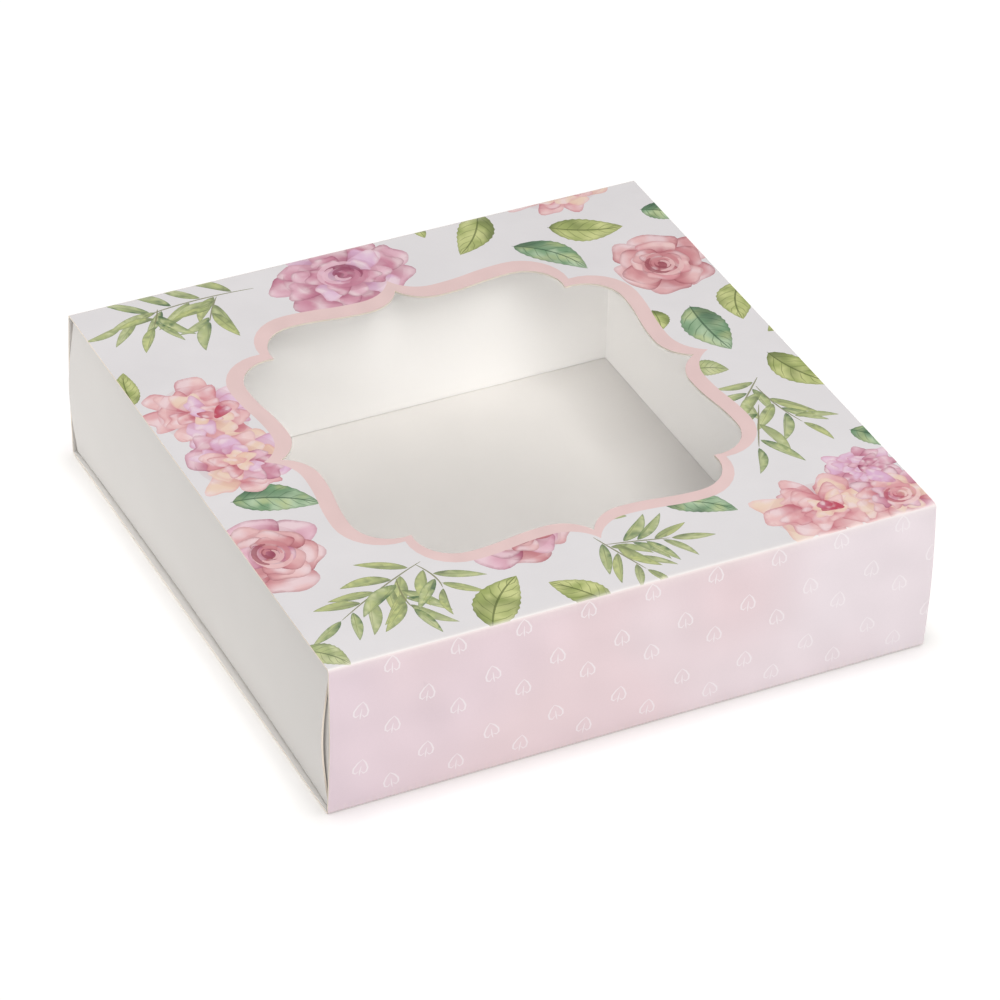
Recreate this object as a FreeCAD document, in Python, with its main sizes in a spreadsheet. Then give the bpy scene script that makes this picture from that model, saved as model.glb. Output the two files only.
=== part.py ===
import FreeCAD, Part
import math
import os
import re

import Sketcher

# Flower box: a paperboard sleeve, open at both ends, with an ornamental window in its top, and a tray
# with hollow walls that slides through the sleeve along X.
#
# Frame: millimetres, +Z up, origin in the middle of the footprint on the standing surface. X is the
# slide direction, -Y is the front wall. Every panel between two creases is a solid of its own, and
# neighbouring panels of one sheet meet face to face at the crease.

SIZES = (
    ("outer_length", 150.0, "sleeve along X, the slide direction"),
    ("outer_width", 150.0, "sleeve along Y"),
    ("outer_height", 40.0, "sleeve along Z"),
    ("board", 0.45, "thickness of the paperboard"),
    ("glue", 0.05, "thickness of a glue line"),
    ("film", 0.15, "thickness of the window film"),
    ("film_length", 124.0, "window film along X"),
    ("film_width", 122.0, "window film along Y"),
    ("glue_band", 4.0, "width of the glue ring round the film"),
    ("flap_height", 14.0, "sleeve's glue flap, up the inside of the back wall"),
    ("flap_taper", 3.0, "how far the flap's ends slant in"),
    ("seam_margin", 4.0, "bare board at each end of the seam's glue line"),
    ("tray_length", 148.6, "tray along X"),
    ("tray_width", 147.4, "tray along Y"),
    ("tray_lift", 0.6, "height of the tray's underside"),
    ("tray_top", 39.0, "height of the tray's ledges"),
    ("end_depth", 14.1, "hollow end walls, outer face to inner face"),
    ("side_depth", 15.9, "hollow side walls, outer face to inner face"),
    ("foot_reach", 10.0, "foot flap from its crease to its free edge"),
    ("foot_setback", 3.0, "foot flap's ends, short of the inner corners"),
    ("foot_margin", 1.0, "bare board round the glue under a foot"),
    ("tab_reach", 12.5, "corner tab from its crease to its free edge"),
    ("tab_taper", 3.0, "how far a corner tab narrows at its free edge, each side"),
    ("tab_gap", 1.0, "corner tab's top and bottom edges, short of the wall's"),
    ("window_shift", 0.4, "window centre, towards the back"),
    ("waist_reach", 9.2, "from the mid-side cusp to the waist beside it"),
    ("waist_distance", 47.1, "window centre to the waist"),
    ("cusp_radius", 10.2, "arc from the waist out to the cusp"),
    ("shoulder_reach", 28.9, "from the mid-side to the top of the shoulder"),
    ("shoulder_distance", 48.9, "window centre to the shoulder"),
    ("shoulder_radius", 9.3, "arc from the shoulder to the corner notch"),
)

# Places that several panels share, as expressions of the sheet's values.
SLEEVE_CEILING = "(outer_height - board)"
TRAY_FLOOR = "(tray_lift + board)"
LEDGE_UNDERSIDE = "(tray_top - board)"
OUTER_X = "(tray_length / 2)"
OUTER_Y = "(tray_width / 2)"
INNER_X = "(tray_length / 2 - end_depth)"
INNER_Y = "(tray_width / 2 - side_depth)"

doc = FreeCAD.newDocument("flower_box")
sheet = doc.addObject("Spreadsheet::Sheet", "sizes")
for row, (alias, value, note) in enumerate(SIZES, start=1):
    sheet.set("A%d" % row, note)
    sheet.set("B%d" % row, str(value))
    sheet.setAlias("B%d" % row, alias)
doc.recompute()

nodes = []


def bound(formula):
    """Turn a formula in plain alias names into an expression on the sheet."""
    return re.sub(r"[a-z_]{3,}", lambda word: "sizes." + word.group(), str(formula))


def value_of(formula):
    """Present value of such a formula."""
    return float(sheet.evalExpression(bound(formula)))


def register(piece, name):
    """Name a finished sub-part and list it for export."""
    piece.Label = name
    nodes.append(piece)
    return piece


def place(piece, low):
    """Bind the position of a piece to the sheet."""
    for axis, formula in zip("xyz", low):
        piece.setExpression("Placement.Base." + axis, bound(formula))


def slab(name, low, size):
    """Rectangular sheet from its low corner and its size along X, Y and Z."""
    box = doc.addObject("Part::Box", name)
    for side, formula in zip(("Length", "Width", "Height"), size):
        box.setExpression(side, bound(formula))
    place(box, low)
    return box


def new_sketch(body, name, plane):
    """Sketch on one of the body's own origin planes."""
    sketch = body.newObject("Sketcher::SketchObject", name)
    support = [item for item in body.Origin.OriginFeatures if item.Role == plane][0]
    sketch.AttachmentSupport = (support, "")
    sketch.MapMode = "FlatFace"
    return sketch


def pad(body, sketch, thickness):
    """Pad a sketch along its plane's normal."""
    feature = body.newObject("PartDesign::Pad", sketch.Name + "_pad")
    feature.Profile = sketch
    feature.setExpression("Length", bound(thickness))
    sketch.Visibility = False
    return feature


def polygon_panel(name, plane, corners, low, thickness="board"):
    """Sheet with a straight-sided outline. Each corner is two formulas in the sketch's axes."""
    body = doc.addObject("PartDesign::Body", name)
    sketch = new_sketch(body, name + "_outline", plane)
    points = [FreeCAD.Vector(value_of(across), value_of(up), 0) for across, up in corners]
    count = len(points)
    for index in range(count):
        sketch.addGeometry(Part.LineSegment(points[index], points[(index + 1) % count]))
    for index in range(count):
        follower = (index + 1) % count
        sketch.addConstraint(Sketcher.Constraint("Coincident", index, 2, follower, 1))
    for index, corner in enumerate(corners):
        for kind, formula in zip(("DistanceX", "DistanceY"), corner):
            size = Sketcher.Constraint(kind, -1, 1, index, 1, value_of(formula))
            number = sketch.addConstraint(size)
            sketch.setExpression("Constraints[%d]" % number, bound(formula))
    pad(body, sketch, thickness)
    place(body, low)
    return body


def compound(name, pieces):
    """Group of separate like solids in one sub-part."""
    group = doc.addObject("Part::Compound", name)
    group.Links = pieces
    return group


def arc_through(centre, radius, start, end):
    """Three points of an arc: its start, middle and end."""
    angles = (start, (start + end) / 2, end)
    return [(centre[0] + radius * math.cos(a), centre[1] + radius * math.sin(a)) for a in angles]


def window_eighth():
    """Arcs from the mid-side cusp on +Y to the corner notch on the diagonal x = y."""
    waist_x, waist_y = value_of("waist_reach"), value_of("waist_distance")
    cusp_r = value_of("cusp_radius")
    top_x, top_y = value_of("shoulder_reach"), value_of("shoulder_distance")
    shoulder_r = value_of("shoulder_radius")

    # From the cusp, on the axis of symmetry, down to the waist.
    cusp_angle = -math.acos(-waist_x / cusp_r)
    arcs = [arc_through((waist_x, waist_y + cusp_r), cusp_r, cusp_angle, -math.pi / 2)]

    # Two equal arcs, tangent to each other, lift the edge from the waist to the shoulder.
    turn = 2 * math.atan2(top_y - waist_y, top_x - waist_x)
    ease_r = (top_x - waist_x) / 2 / math.sin(turn)
    arcs.append(arc_through((waist_x, waist_y + ease_r), ease_r, -math.pi / 2, turn - math.pi / 2))
    arcs.append(arc_through((top_x, top_y - ease_r), ease_r, turn + math.pi / 2, math.pi / 2))

    # The shoulder turns down to meet its mirror image on the diagonal.
    offset = (top_y - shoulder_r - top_x) / math.sqrt(2)
    along = math.sqrt(shoulder_r ** 2 - offset ** 2)
    notch_angle = math.atan2(-offset, along) + math.pi / 4
    arcs.append(arc_through((top_x, top_y - shoulder_r), shoulder_r, math.pi / 2, notch_angle))
    return arcs


def window_arcs():
    """The whole window outline, in order, as four turned copies of a mirrored pair of eighths."""
    eighth = window_eighth()
    mirrored = [[(y, x) for x, y in reversed(arc)] for arc in reversed(eighth)]
    for quarter in range(4):
        cos_turn, sin_turn = math.cos(-quarter * math.pi / 2), math.sin(-quarter * math.pi / 2)
        for arc in eighth + mirrored:
            turned = [(x * cos_turn - y * sin_turn, x * sin_turn + y * cos_turn) for x, y in arc]
            yield [FreeCAD.Vector(x, y, 0) for x, y in turned]


def rectangle(length, width):
    """Corners of a rectangle centred on the sketch's origin."""
    right, back = "(%s) / 2" % length, "(%s) / 2" % width
    return (("-" + right, "-" + back), (right, "-" + back), (right, back), ("-" + right, back))


def sleeve_top_panel():
    """Top of the sleeve, with the window cut through it."""
    low = ("0", "0", SLEEVE_CEILING)
    body = polygon_panel("sleeve_top_panel", "XY_Plane", rectangle("outer_length", "outer_width"), low)
    doc.recompute()
    solid_volume = body.Shape.Volume

    outline = new_sketch(body, "window_outline", "XY_Plane")
    for arc in window_arcs():
        outline.addGeometry(Part.Arc(*arc))
    outline.setExpression("AttachmentOffset.Base.y", bound("window_shift"))
    window = body.newObject("PartDesign::Pocket", "window_cut")
    window.Profile = outline
    window.Type = "ThroughAll"
    window.Reversed = True
    outline.Visibility = False
    doc.recompute()

    cut = solid_volume - body.Shape.Volume
    window_area = cut / value_of("board")
    if not 0.3 < window_area / (value_of("outer_length") * value_of("outer_width")) < 0.6:
        raise RuntimeError("the window was not cut")
    print("window area %.1f mm2" % window_area)
    return register(body, "sleeve_top_panel")


def make_sleeve():
    """Printed tube: four panels, the glue flap, and the film behind the window."""
    sleeve_top_panel()
    wall_size = ("outer_length", "board", "outer_height - 2 * board")
    for name, low_y in (("front", "-outer_width / 2"), ("back", "outer_width / 2 - board")):
        node = "sleeve_%s_wall" % name
        register(slab(node, ("-outer_length / 2", low_y, "board"), wall_size), node)
    base_low = ("-outer_length / 2", "-outer_width / 2", "0")
    base_size = ("outer_length", "outer_width", "board")
    register(slab("sleeve_base_panel", base_low, base_size), "sleeve_base_panel")

    # The flap stands on the base, glued to the inside of the back wall. The sketch's plane faces -Y.
    half = "outer_length / 2 - seam_margin / 2"
    flap_corners = (
        ("-(%s)" % half, "board"),
        (half, "board"),
        ("%s - flap_taper" % half, "board + flap_height"),
        ("-(%s - flap_taper)" % half, "board + flap_height"),
    )
    flap_low = ("0", "outer_width / 2 - board - glue", "0")
    flap = polygon_panel("sleeve_glue_flap", "XZ_Plane", flap_corners, flap_low)
    register(flap, "sleeve_glue_flap")
    seam_low = (
        "-outer_length / 2 + 2 * seam_margin",
        "outer_width / 2 - board - glue",
        "board + foot_margin",
    )
    seam_size = ("outer_length - 4 * seam_margin", "glue", "flap_height - 2 * foot_margin")
    register(slab("seam_glue", seam_low, seam_size), "seam_glue")


def make_window_film():
    """Clear film and the glue ring that holds it under the top panel."""
    film_low = ("-film_length / 2", "-film_width / 2", SLEEVE_CEILING + " - glue - film")
    register(slab("window_film", film_low, ("film_length", "film_width", "film")), "window_film")

    ring_low = "%s - glue" % SLEEVE_CEILING
    outer_low = ("-film_length / 2", "-film_width / 2", ring_low)
    outer = slab("film_glue_outer", outer_low, ("film_length", "film_width", "glue"))
    inner_low = ("-film_length / 2 + glue_band", "-film_width / 2 + glue_band", ring_low)
    inner_size = ("film_length - 2 * glue_band", "film_width - 2 * glue_band", "glue")
    inner = slab("film_glue_inner", inner_low, inner_size)
    ring = doc.addObject("Part::Cut", "film_glue")
    ring.Base = outer
    ring.Tool = inner
    register(ring, "film_glue")


def make_outer_walls():
    """The tray's four outer walls. The side walls end behind the end walls, where their tabs fold in."""
    height = "%s - %s" % (LEDGE_UNDERSIDE, TRAY_FLOOR)
    for name, low_x in (("left", "-" + OUTER_X), ("right", OUTER_X + " - board")):
        node = "tray_%s_outer_wall" % name
        register(slab(node, (low_x, "-" + OUTER_Y, TRAY_FLOOR), ("board", "tray_width", height)), node)
    side_length = "tray_length - 2 * board - 2 * glue"
    for name, low_y in (("front", "-" + OUTER_Y), ("back", OUTER_Y + " - board")):
        node = "tray_%s_outer_wall" % name
        low = ("-(%s) / 2" % side_length, low_y, TRAY_FLOOR)
        register(slab(node, low, (side_length, "board", height)), node)


def make_ledges():
    """The flat tops of the hollow walls, mitred where they meet."""
    for name, sign in (("left", "-"), ("right", "")):
        corners = [(sign + OUTER_X, "-" + OUTER_Y), (sign + OUTER_X, OUTER_Y)]
        corners += [(sign + INNER_X, INNER_Y), (sign + INNER_X, "-" + INNER_Y)]
        node = "tray_%s_ledge" % name
        register(polygon_panel(node, "XY_Plane", corners, ("0", "0", LEDGE_UNDERSIDE)), node)
    for name, sign in (("front", "-"), ("back", "")):
        corners = [("-" + OUTER_X, sign + OUTER_Y), (OUTER_X, sign + OUTER_Y)]
        corners += [(INNER_X, sign + INNER_Y), ("-" + INNER_X, sign + INNER_Y)]
        node = "tray_%s_ledge" % name
        register(polygon_panel(node, "XY_Plane", corners, ("0", "0", LEDGE_UNDERSIDE)), node)


def make_inner_walls():
    """Inner skins of the hollow walls. They stand just clear of the base, on the glue's thickness."""
    foot_level = "%s + glue" % TRAY_FLOOR
    height = "%s - (%s)" % (LEDGE_UNDERSIDE, foot_level)
    end_size = ("board", "2 * " + INNER_Y, height)
    for name, low_x in (("left", "-%s - board" % INNER_X), ("right", INNER_X)):
        node = "tray_%s_inner_wall" % name
        register(slab(node, (low_x, "-" + INNER_Y, foot_level), end_size), node)
    side_size = ("2 * (%s + board)" % INNER_X, "board", height)
    for name, low_y in (("front", "-%s - board" % INNER_Y), ("back", INNER_Y)):
        node = "tray_%s_inner_wall" % name
        register(slab(node, ("-(%s + board)" % INNER_X, low_y, foot_level), side_size), node)


def foot_box(name, side, margin, low_z, thickness):
    """Sheet on the tray's base, outside one inner wall, drawn in by a margin all round."""
    reach = "foot_reach - 2 * %s" % margin
    along_y = "2 * (%s - foot_setback - %s)" % (INNER_Y, margin)
    along_x = "2 * (%s - foot_setback - %s)" % (INNER_X, margin)
    near_x = "%s + board + %s" % (INNER_X, margin)
    near_y = "%s + board + %s" % (INNER_Y, margin)
    size_end, size_side = (reach, along_y, thickness), (along_x, reach, thickness)
    low_along_y, low_along_x = "-(%s) / 2" % along_y, "-(%s) / 2" % along_x
    places = {
        "left": (("-(%s) - (%s)" % (near_x, reach), low_along_y, low_z), size_end),
        "right": ((near_x, low_along_y, low_z), size_end),
        "front": ((low_along_x, "-(%s) - (%s)" % (near_y, reach), low_z), size_side),
        "back": ((low_along_x, near_y, low_z), size_side),
    }
    return slab(name, *places[side])


def make_feet():
    """Foot flaps of the inner walls, turned outwards inside the hollow walls, and their glue."""
    glue_lines = []
    for side in ("left", "right", "front", "back"):
        node = "tray_%s_foot" % side
        register(foot_box(node, side, "0", "%s + glue" % TRAY_FLOOR, "board"), node)
        glue_lines.append(foot_box("foot_glue_" + side, side, "foot_margin", TRAY_FLOOR, "glue"))
    register(compound("foot_glue", glue_lines), "foot_glue")


def make_corner_tabs():
    """Tabs folded in from the side walls' ends and glued behind the end walls."""
    root_low, root_high = "%s + tab_gap" % TRAY_FLOOR, "%s - tab_gap" % LEDGE_UNDERSIDE
    free_low, free_high = root_low + " + tab_taper", root_high + " - tab_taper"
    fold = "(%s - board)" % OUTER_Y
    glue_lines = []
    for end, low_x, glue_x in (
        ("left", "-%s + board + glue" % OUTER_X, "-%s + board" % OUTER_X),
        ("right", "%s - 2 * board - glue" % OUTER_X, "%s - board - glue" % OUTER_X),
    ):
        for side, sign in (("front", "-"), ("back", "")):
            free_edge = "%s(%s - tab_reach)" % (sign, fold)
            corners = ((sign + fold, root_low), (free_edge, free_low))
            corners += ((free_edge, free_high), (sign + fold, root_high))
            node = "tray_%s_%s_tab" % (side, end)
            register(polygon_panel(node, "YZ_Plane", corners, (low_x, "0", "0")), node)
            near = {"front": "-(%s - foot_margin)", "back": "%s - tab_reach + foot_margin"}[side]
            glue_low = (glue_x, near % fold, free_low + " + foot_margin")
            glue_height = "%s - (%s) - 2 * foot_margin" % (free_high, free_low)
            glue_size = ("glue", "tab_reach - 2 * foot_margin", glue_height)
            glue_lines.append(slab("corner_glue_%s_%s" % (side, end), glue_low, glue_size))
    register(compound("corner_glue", glue_lines), "corner_glue")


def make_tray():
    """Plain sheet folded up into a tray with hollow walls."""
    base_low = ("-" + OUTER_X, "-" + OUTER_Y, "tray_lift")
    register(slab("tray_base", base_low, ("tray_length", "tray_width", "board")), "tray_base")
    make_outer_walls()
    make_ledges()
    make_inner_walls()
    make_feet()
    make_corner_tabs()


def check_and_export():
    """Stop on any failed object, then write one file per sub-part."""
    doc.recompute()
    for item in doc.Objects:
        if "Invalid" in item.State or "Error" in item.State:
            raise RuntimeError("%s failed: %s" % (item.Name, item.State))
    for piece in nodes:
        shape = piece.Shape
        if shape.isNull() or not shape.isValid() or not shape.Solids:
            raise RuntimeError(piece.Label + " has no valid solid")
    os.makedirs("parts", exist_ok=True)
    for piece in nodes:
        piece.Shape.exportStep("parts/%s.step" % piece.Label)
    print("%d sub-parts written" % len(nodes))


make_sleeve()
make_window_film()
make_tray()
check_and_export()
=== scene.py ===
import math

import bpy
import numpy as np
from mathutils import Matrix, Vector, geometry


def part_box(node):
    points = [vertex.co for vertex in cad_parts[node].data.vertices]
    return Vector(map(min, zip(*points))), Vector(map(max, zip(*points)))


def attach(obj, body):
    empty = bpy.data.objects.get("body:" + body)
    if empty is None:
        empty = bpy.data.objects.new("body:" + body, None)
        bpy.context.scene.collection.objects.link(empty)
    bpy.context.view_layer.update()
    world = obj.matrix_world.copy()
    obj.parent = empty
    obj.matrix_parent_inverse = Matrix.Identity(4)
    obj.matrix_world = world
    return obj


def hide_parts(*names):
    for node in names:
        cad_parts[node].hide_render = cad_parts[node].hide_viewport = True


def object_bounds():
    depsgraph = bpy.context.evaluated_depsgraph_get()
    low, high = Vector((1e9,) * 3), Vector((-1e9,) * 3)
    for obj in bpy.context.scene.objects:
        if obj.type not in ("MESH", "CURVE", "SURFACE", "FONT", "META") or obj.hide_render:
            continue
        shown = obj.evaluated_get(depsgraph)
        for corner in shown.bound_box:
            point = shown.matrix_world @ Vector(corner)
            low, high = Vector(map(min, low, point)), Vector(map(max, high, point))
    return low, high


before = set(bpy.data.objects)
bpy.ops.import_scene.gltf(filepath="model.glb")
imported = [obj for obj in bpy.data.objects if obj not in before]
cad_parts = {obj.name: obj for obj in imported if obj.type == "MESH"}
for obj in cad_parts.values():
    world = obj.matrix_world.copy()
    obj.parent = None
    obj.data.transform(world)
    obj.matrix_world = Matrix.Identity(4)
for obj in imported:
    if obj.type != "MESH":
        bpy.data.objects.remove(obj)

# Flower box: a printed sleeve with a film window, and a plain tray with hollow walls.
# Plans and shapes are laid out in millimetres in the row's frame; meshes are made in metres.

MM = 0.001
CAD_BOX = [list(corner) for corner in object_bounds()]

X, Y, Z = np.eye(3)


def cad(node):
    """Low and high corner of a CAD node, in millimetres."""
    low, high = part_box(node)
    return np.array(low) / MM, np.array(high) / MM


# ---------------------------------------------------------------- sizes, from the frame

HALF_LENGTH, HALF_WIDTH, HEIGHT = np.array(CAD_BOX[1]) / MM
BASE_LOW, BASE_HIGH = cad("sleeve_base_panel")
BOARD = BASE_HIGH[2] - BASE_LOW[2]
TRAY_LOW, TRAY_HIGH = cad("tray_base")
TRAY_X, TRAY_Y, TRAY_UNDERSIDE = TRAY_HIGH[0], TRAY_HIGH[1], TRAY_LOW[2]
TRAY_TOP = cad("tray_left_ledge")[1][2]
INNER_X = cad("tray_right_inner_wall")[0][0]
INNER_Y = cad("tray_back_inner_wall")[0][1]
FOOT_Z = cad("tray_left_foot")[0][2]
CREASE = 0.75  # outer radius of a fold
SKIN = 0.012  # printed layer, proud of the board
ARC_HALF = CREASE * math.pi / 4  # from a fold's tangent to its middle, along the outer face
ARC_FULL = CREASE * math.pi / 2

# ---------------------------------------------------------------- colours


def srgb(red, green, blue):
    """Linear colour from the usual 0 to 255 values."""
    value = np.array([red, green, blue]) / 255
    return np.where(value > 0.04045, ((value + 0.055) / 1.055) ** 2.4, value / 12.92)


PAPER = srgb(226, 224, 226)
BORDER = srgb(229, 202, 200)
CREASE_HIGHLIGHT = srgb(240, 234, 228)  # pale cream, a painted highlight along each crease
ROSE_DARK, ROSE_MID, ROSE_LIGHT = srgb(150, 74, 102), srgb(202, 136, 158), srgb(232, 192, 206)
DUSTY_DARK, DUSTY_MID, DUSTY_LIGHT = srgb(152, 76, 88), srgb(206, 138, 144), srgb(234, 194, 194)
BLUSH_DARK, BLUSH_MID, BLUSH_LIGHT = srgb(184, 92, 108), srgb(222, 160, 166), srgb(240, 208, 206)
PEACH, LILAC, CRIMSON = srgb(234, 202, 180), srgb(222, 182, 212), srgb(190, 78, 98)
THIN_WASH = srgb(240, 222, 226)  # where the paint of a petal runs out
OLIVE_DARK, OLIVE_MID, OLIVE_LIGHT = srgb(112, 124, 92), srgb(166, 180, 124), srgb(208, 214, 166)
LIME_DARK, LIME_MID, LIME_LIGHT = srgb(98, 112, 58), srgb(158, 172, 98), srgb(206, 212, 144)
JADE_DARK, JADE_MID, JADE_LIGHT = srgb(62, 98, 72), srgb(116, 156, 116), srgb(182, 206, 172)
STALK = srgb(136, 138, 104)

# ---------------------------------------------------------------- flat plans


def inside(points, loop):
    """Which points lie inside a closed loop."""
    loop = np.asarray(loop)
    start, end = loop, np.roll(loop, -1, axis=0)
    px, py = points[:, :1], points[:, 1:]
    spans = (start[:, 1] > py) != (end[:, 1] > py)
    rise = np.where(end[:, 1] == start[:, 1], 1.0, end[:, 1] - start[:, 1])
    crossing = (end[:, 0] - start[:, 0]) * (py - start[:, 1]) / rise + start[:, 0]
    return (np.sum(spans & (px < crossing), axis=1) % 2).astype(bool)


def triangulate(outline, holes=(), inner_loops=(), points=()):
    """Triangles of a flat plan. Their edges follow the outline, the holes and the inner loops."""
    coords, edges = [], []
    for loop in (outline, *holes, *inner_loops):
        first, count = len(coords), len(loop)
        coords.extend(loop)
        edges.extend((first + i, first + (i + 1) % count) for i in range(count))
    coords.extend(points)
    flat = [Vector((float(x), float(y))) for x, y in coords]
    verts, _, faces, *_ = geometry.delaunay_2d_cdt(flat, edges, [], 0, 1e-5, False)
    verts, tris = np.array([tuple(v) for v in verts]), np.array([tuple(f) for f in faces])
    middles = verts[tris].mean(axis=1)
    keep = inside(middles, outline)
    for hole in holes:
        keep &= ~inside(middles, hole)
    tris = tris[keep]
    used, tris = np.unique(tris, return_inverse=True)
    verts, tris = verts[used], tris.reshape(-1, 3)
    a, b, c = verts[tris].transpose(1, 0, 2)
    turn = (b[:, 0] - a[:, 0]) * (c[:, 1] - a[:, 1]) - (b[:, 1] - a[:, 1]) * (c[:, 0] - a[:, 0])
    tris[turn < 0] = tris[turn < 0][:, ::-1]
    return verts, tris


def lattice(half_a, half_b, pitch):
    """Points of a staggered grid inside a rectangle."""
    rows = []
    for row, b in enumerate(np.arange(-half_b + pitch / 2, half_b, pitch)):
        shift = pitch / 2 if row % 2 else 0.0
        for a in np.arange(-half_a + pitch / 2 + shift, half_a, pitch):
            rows.append((a, b))
    return rows


def rectangle(half_a, half_b, step):
    """Closed outline of a rectangle, with points along its sides."""
    corners = [(-half_a, -half_b), (half_a, -half_b), (half_a, half_b), (-half_a, half_b)]
    return polygon(corners, step)


def polygon(corners, step):
    """Closed outline through the corners, with points along the sides."""
    outline = []
    for start, end in zip(corners, corners[1:] + corners[:1]):
        start, end = np.array(start, float), np.array(end, float)
        count = max(1, math.ceil(np.linalg.norm(end - start) / step))
        outline.extend(start + (end - start) * i / count for i in range(count))
    return outline


def crease_loops(half_a, flat, far, count=3, step=2.0):
    """Lines along the creases of a strip, so that the mesh bends in even steps."""
    levels = np.linspace(flat, far, count + 1)[:-1]
    return [polygon([(-half_a, -b), (half_a, -b), (half_a, b), (-half_a, b)], step) for b in levels]


# ---------------------------------------------------------------- the window's outline

# The same values as in the CAD sketch: the frame gives boxes, not outlines.
WAIST_REACH, WAIST_DISTANCE, CUSP_RADIUS = 9.2, 47.1, 10.2
SHOULDER_REACH, SHOULDER_DISTANCE, SHOULDER_RADIUS = 28.9, 48.9, 9.3
WINDOW_SHIFT = 0.4  # towards the back
ARC_POINTS = 9


def arc(centre, radius, start, end):
    """Points of an arc, without its last one."""
    angles = np.linspace(start, end, ARC_POINTS)[:-1]
    return [(centre[0] + radius * math.cos(a), centre[1] + radius * math.sin(a)) for a in angles]


def window_outline(grow=0.0, shift=WINDOW_SHIFT):
    """The ornamental window, moved outwards by grow at its waists, shoulders and notches."""
    waist_y, top_y = WAIST_DISTANCE + grow, SHOULDER_DISTANCE + grow
    top_x, shoulder_r = SHOULDER_REACH, SHOULDER_RADIUS + 0.55 * grow
    cusp_angle = -math.acos(-WAIST_REACH / CUSP_RADIUS)
    eighth = arc((WAIST_REACH, waist_y + CUSP_RADIUS), CUSP_RADIUS, cusp_angle, -math.pi / 2)
    turn = 2 * math.atan2(top_y - waist_y, top_x - WAIST_REACH)
    ease = (top_x - WAIST_REACH) / 2 / math.sin(turn)
    eighth += arc((WAIST_REACH, waist_y + ease), ease, -math.pi / 2, turn - math.pi / 2)
    eighth += arc((top_x, top_y - ease), ease, turn + math.pi / 2, math.pi / 2)
    offset = (top_y - shoulder_r - top_x) / math.sqrt(2)
    notch = math.atan2(-offset, math.sqrt(shoulder_r**2 - offset**2)) + math.pi / 4
    eighth += arc((top_x, top_y - shoulder_r), shoulder_r, math.pi / 2, notch)
    corner = (top_x + shoulder_r * math.cos(notch), top_y - shoulder_r + shoulder_r * math.sin(notch))
    quarter = eighth + [corner] + [(y, x) for x, y in reversed(eighth)][:-1]
    outline = []
    for turns in range(4):
        c, s = math.cos(-turns * math.pi / 2), math.sin(-turns * math.pi / 2)
        outline.extend((x * c - y * s, x * s + y * c + shift) for x, y in quarter)
    return outline


# ---------------------------------------------------------------- sheets folded at creases


def fold_strip(centre, along, across, normal, half_flat):
    """Maps a plan onto a strip that rolls over a crease at each long side."""

    def put(plan, depth):
        a, b = plan[:, :1], plan[:, 1:]
        flat = np.clip(b, -half_flat, half_flat)
        angle = (np.abs(b) - half_flat).clip(0) / CREASE
        reach = (CREASE - depth) * np.sin(angle) * np.sign(b)
        drop = np.where(angle > 0, CREASE - (CREASE - depth) * np.cos(angle), depth)
        return centre + along * a + across * (flat + reach) - normal * drop

    return put


def wall_strip(normal, distance, low, high):
    """Strip for an upright panel whose outer face looks along normal."""
    centre = normal * distance + Z * (low + high) / 2
    return fold_strip(centre, np.cross(Z, normal), Z, normal, (high - low) / 2 - CREASE)


def flat_plate(level, up):
    """Maps a plan onto a level sheet whose outer face looks up or down."""

    def put(plan, depth):
        height = np.full((len(plan), 1), level - depth if up else level + depth)
        across = plan[:, 1:] if up else -plan[:, 1:]
        return np.hstack([plan[:, :1], across, height])

    return put


def link(name, verts, faces, body, replaced=()):
    """New piece from vertices in millimetres."""
    mesh = bpy.data.meshes.new(name)
    mesh.from_pydata((np.asarray(verts) * MM).tolist(), [], faces)
    piece = bpy.data.objects.new(name, mesh)
    bpy.context.scene.collection.objects.link(piece)
    mesh.polygons.foreach_set("use_smooth", [True] * len(mesh.polygons))
    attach(piece, body)
    if replaced:
        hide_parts(*replaced)
    return piece


PLAIN = ("board", "board", "edge")


def board_piece(name, plan, put, body, replaced, thickness=BOARD, warp=None, finishes=PLAIN):
    """Closed sheet of board. finishes are those of its outer face, inner face and cut edge."""
    verts, tris = plan
    layers = [put(verts, depth) for depth in (0.0, thickness)]
    if warp:
        layers = [warp(layer) for layer in layers]
    count = len(verts)
    ways = np.vstack([tris[:, [0, 1]], tris[:, [1, 2]], tris[:, [2, 0]]])
    known = set(map(tuple, ways.tolist()))
    rim = [(a, b) for a, b in known if (b, a) not in known]
    faces = tris.tolist() + (tris[:, ::-1] + count).tolist()
    faces += [(b, a, a + count, b + count) for a, b in rim]
    piece = link(name, np.vstack(layers), faces, body, replaced)
    for finish in finishes:
        piece.data.materials.append(MATERIALS[finish])
    kinds = [0] * len(tris) + [1] * len(tris) + [2] * len(rim)
    piece.data.polygons.foreach_set("material_index", kinds)
    piece.data.set_sharp_from_angle(angle=math.radians(50))
    return piece


def skin_piece(name, plan, colours, put, body, slot, warp=None):
    """Printed layer on a sheet's outer face, with a colour at each corner of each triangle."""
    verts, tris = plan
    placed = put(verts, -SKIN)
    if warp:
        placed = warp(placed)
    piece = link(name, placed, tris.tolist(), body)
    layer = piece.data.color_attributes.new("print", "FLOAT_COLOR", "CORNER")
    rgba = np.ones((len(tris) * 3, 4), np.float32)
    rgba[:, :3] = colours
    layer.data.foreach_set("color", rgba.ravel())
    piece.data.materials.append(MATERIALS["print"])
    return piece


# ---------------------------------------------------------------- materials


def new_material(name):
    """Material with one Principled shader. Returns it, its node tree and the shader."""
    material = bpy.data.materials.new(name)
    material.use_nodes = True
    tree = material.node_tree
    return material, tree, tree.nodes["Principled BSDF"]


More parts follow.
